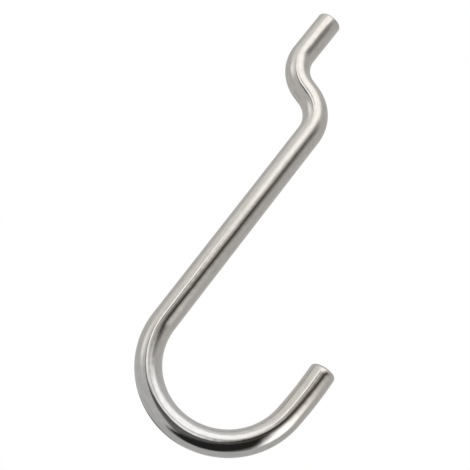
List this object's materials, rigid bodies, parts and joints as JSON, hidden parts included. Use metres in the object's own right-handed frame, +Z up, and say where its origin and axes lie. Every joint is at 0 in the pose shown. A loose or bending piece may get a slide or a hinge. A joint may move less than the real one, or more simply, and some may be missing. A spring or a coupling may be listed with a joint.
{
  "type": "pegboard hook",
  "caption": "Bent round wire hook that clamps on a perforated board by its cranked tail and carries a hanging load in its open J.",
  "frame": {"origin": "on the tail's axis, at the middle of the tail's straight wall", "axes": "+Z up along the shank as the hook hangs, +X out of the board towards the room, +Y across the wire's plane"},
  "size_m": [0.0505, 0.0056, 0.0992],
  "materials": {
    "plated_wire": "bright zinc plating on drawn steel wire"
  },
  "bodies": {
    "root": {"wire_hook": "plated_wire"}
  },
  "joints": []
}
